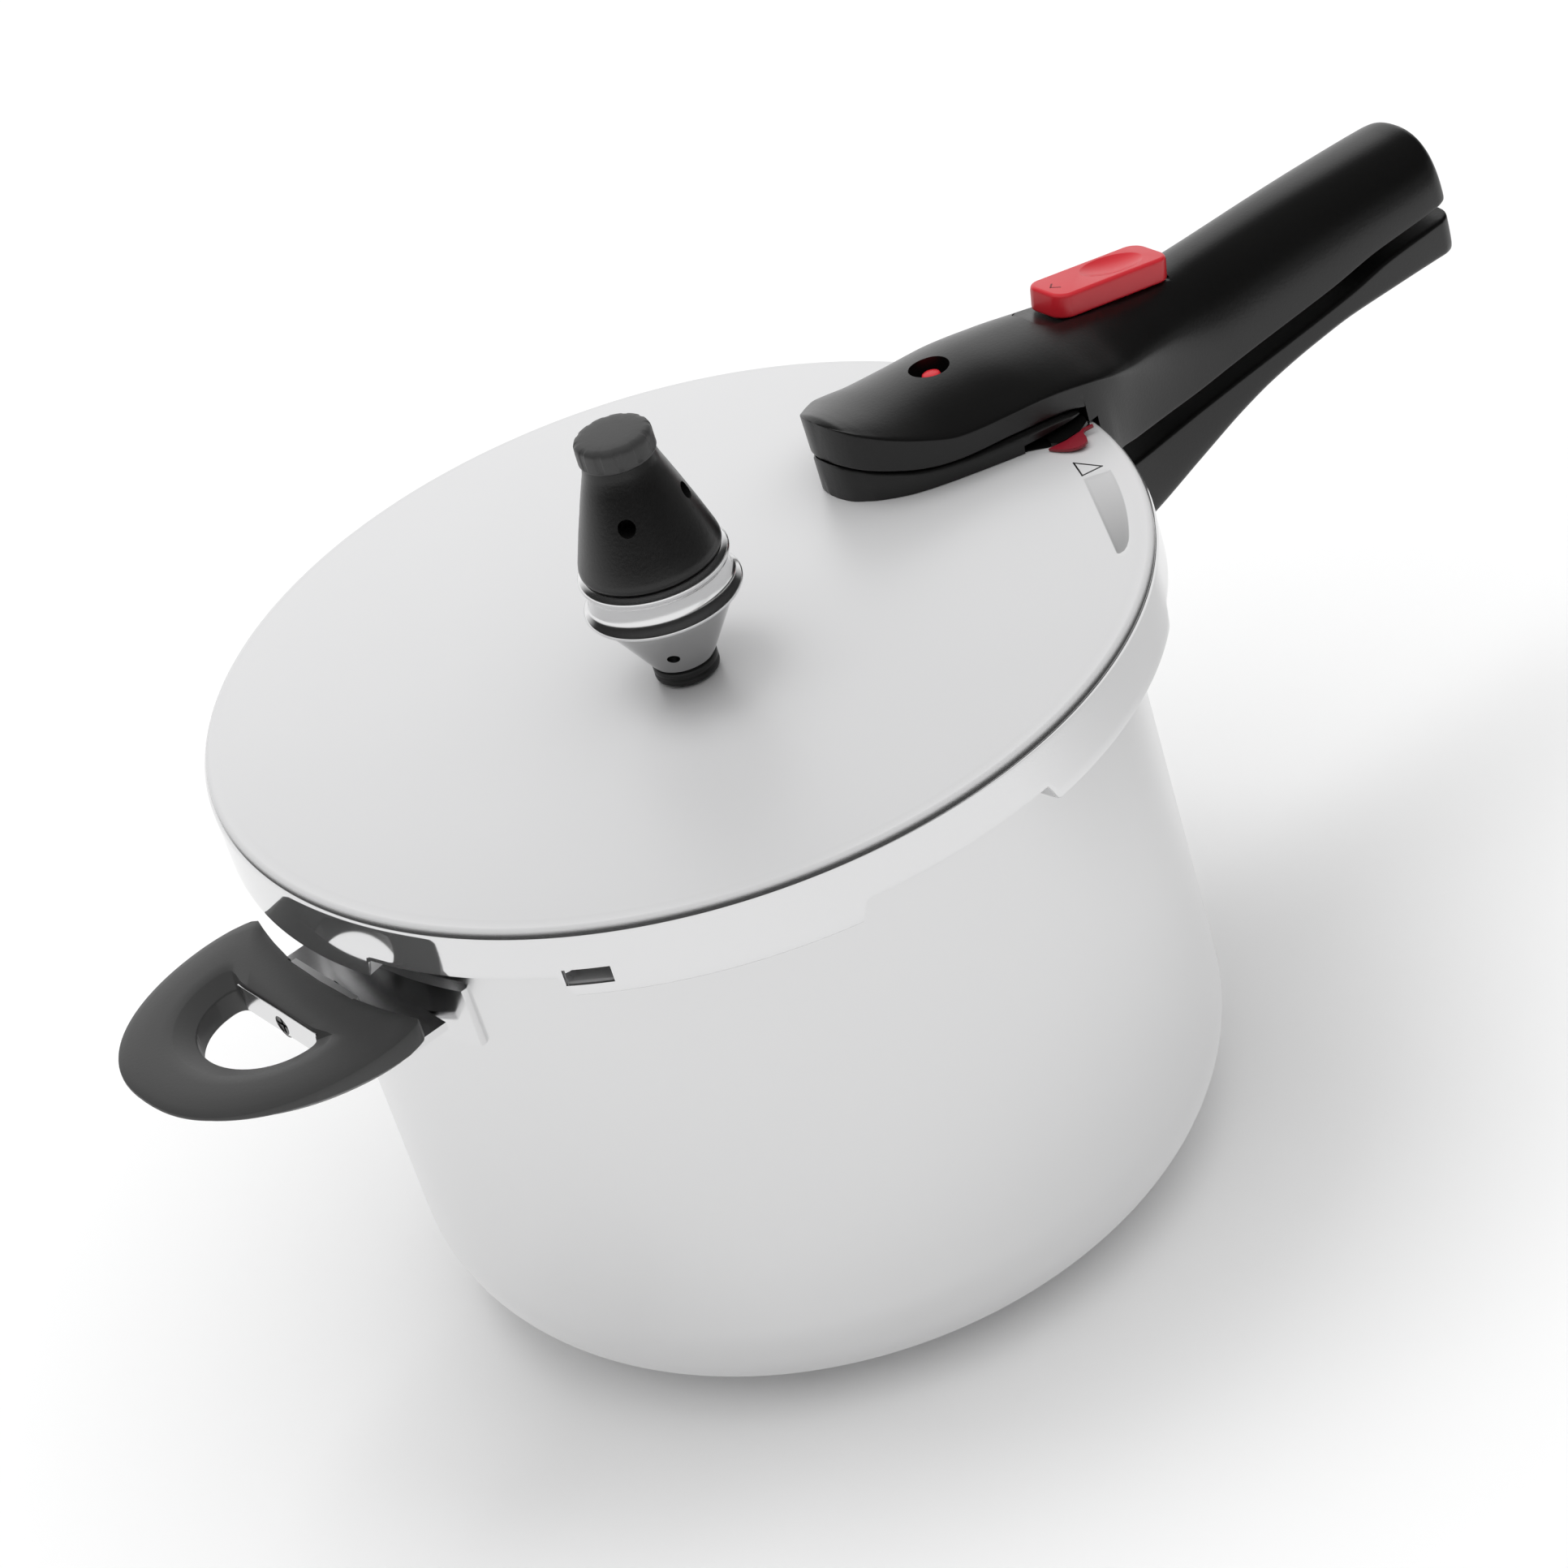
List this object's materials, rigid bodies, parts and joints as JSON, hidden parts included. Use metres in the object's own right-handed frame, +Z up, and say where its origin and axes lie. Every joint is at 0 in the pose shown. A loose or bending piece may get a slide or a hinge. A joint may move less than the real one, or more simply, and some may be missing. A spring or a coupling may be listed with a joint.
{
  "type": "stovetop pressure cooker",
  "caption": "Stovetop pressure cooker: steel pot with long and helper handles, lugged lid that turns and lifts off, lock button, float pin and lift-off weight regulator.",
  "frame": {"origin": "centre of the pot's flat base, on the surface it stands on", "axes": "+Z up along the pot's axis, +X along the long handles, +Y completes the frame"},
  "size_m": [0.4398, 0.247, 0.2478],
  "materials": {
    "polished_steel": "polished",
    "core_aluminium": "satin",
    "sole_steel": "brushed",
    "bracket_steel": "satin",
    "black_plastic": "matt, fine grain",
    "screw_steel": "satin",
    "seal_rubber": "matt",
    "lid_steel": "polished",
    "red_plastic": "satin",
    "weight_steel": "turned"
  },
  "bodies": {
    "pot": {"pot_body": "polished_steel", "base_core": "core_aluminium", "base_cap": "sole_steel", "long_bracket": "bracket_steel", "lower_handle": "black_plastic", "lower_screw": "screw_steel", "helper_bracket": "bracket_steel", "helper_handle": "black_plastic", "helper_screw": "screw_steel"},
    "seal": {"seal_ring": "seal_rubber"},
    "lid": {"lid": "lid_steel", "lid_bracket": "bracket_steel", "handle_base": "black_plastic", "handle_shell": "black_plastic", "handle_screw_front": "screw_steel", "handle_screw_rear": "screw_steel", "float_housing": "bracket_steel", "vent_pipe": "bracket_steel", "vent_washer": "seal_rubber", "vent_nut": "bracket_steel", "vent_filter": "bracket_steel"},
    "float": {"float_pin": "red_plastic", "float_seal": "seal_rubber"},
    "button": {"slide_button": "red_plastic", "lock_bar": "red_plastic"},
    "weight": {"weight_core": "bracket_steel", "weight_cone": "weight_steel", "weight_ring": "weight_steel", "weight_hood": "black_plastic", "weight_cap": "black_plastic", "weight_foot": "black_plastic"}
  },
  "joints": [
    {"name": "lid_lift", "type": "slide", "parent": "pot", "child": "seal", "axis": [0, 0, 1], "range_m": [0, 0.12]},
    {"name": "lid_turn", "type": "hinge", "parent": "seal", "child": "lid", "pos_m": [0, 0, 0.165], "axis": [0, 0, 1], "range_deg": [0, 30]},
    {"name": "float_rise", "type": "slide", "parent": "lid", "child": "float", "axis": [0, 0, 1], "range_m": [0, 0.004]},
    {"name": "button_slide", "type": "slide", "parent": "lid", "child": "button", "axis": [-0.9781, 0, 0.2079], "range_m": [0, 0.006], "stiffness_N_per_m": 150, "springref_m": -0.003},
    {"name": "weight_lift", "type": "slide", "parent": "lid", "child": "weight", "axis": [0, 0, 1], "range_m": [0, 0.03]}
  ]
}
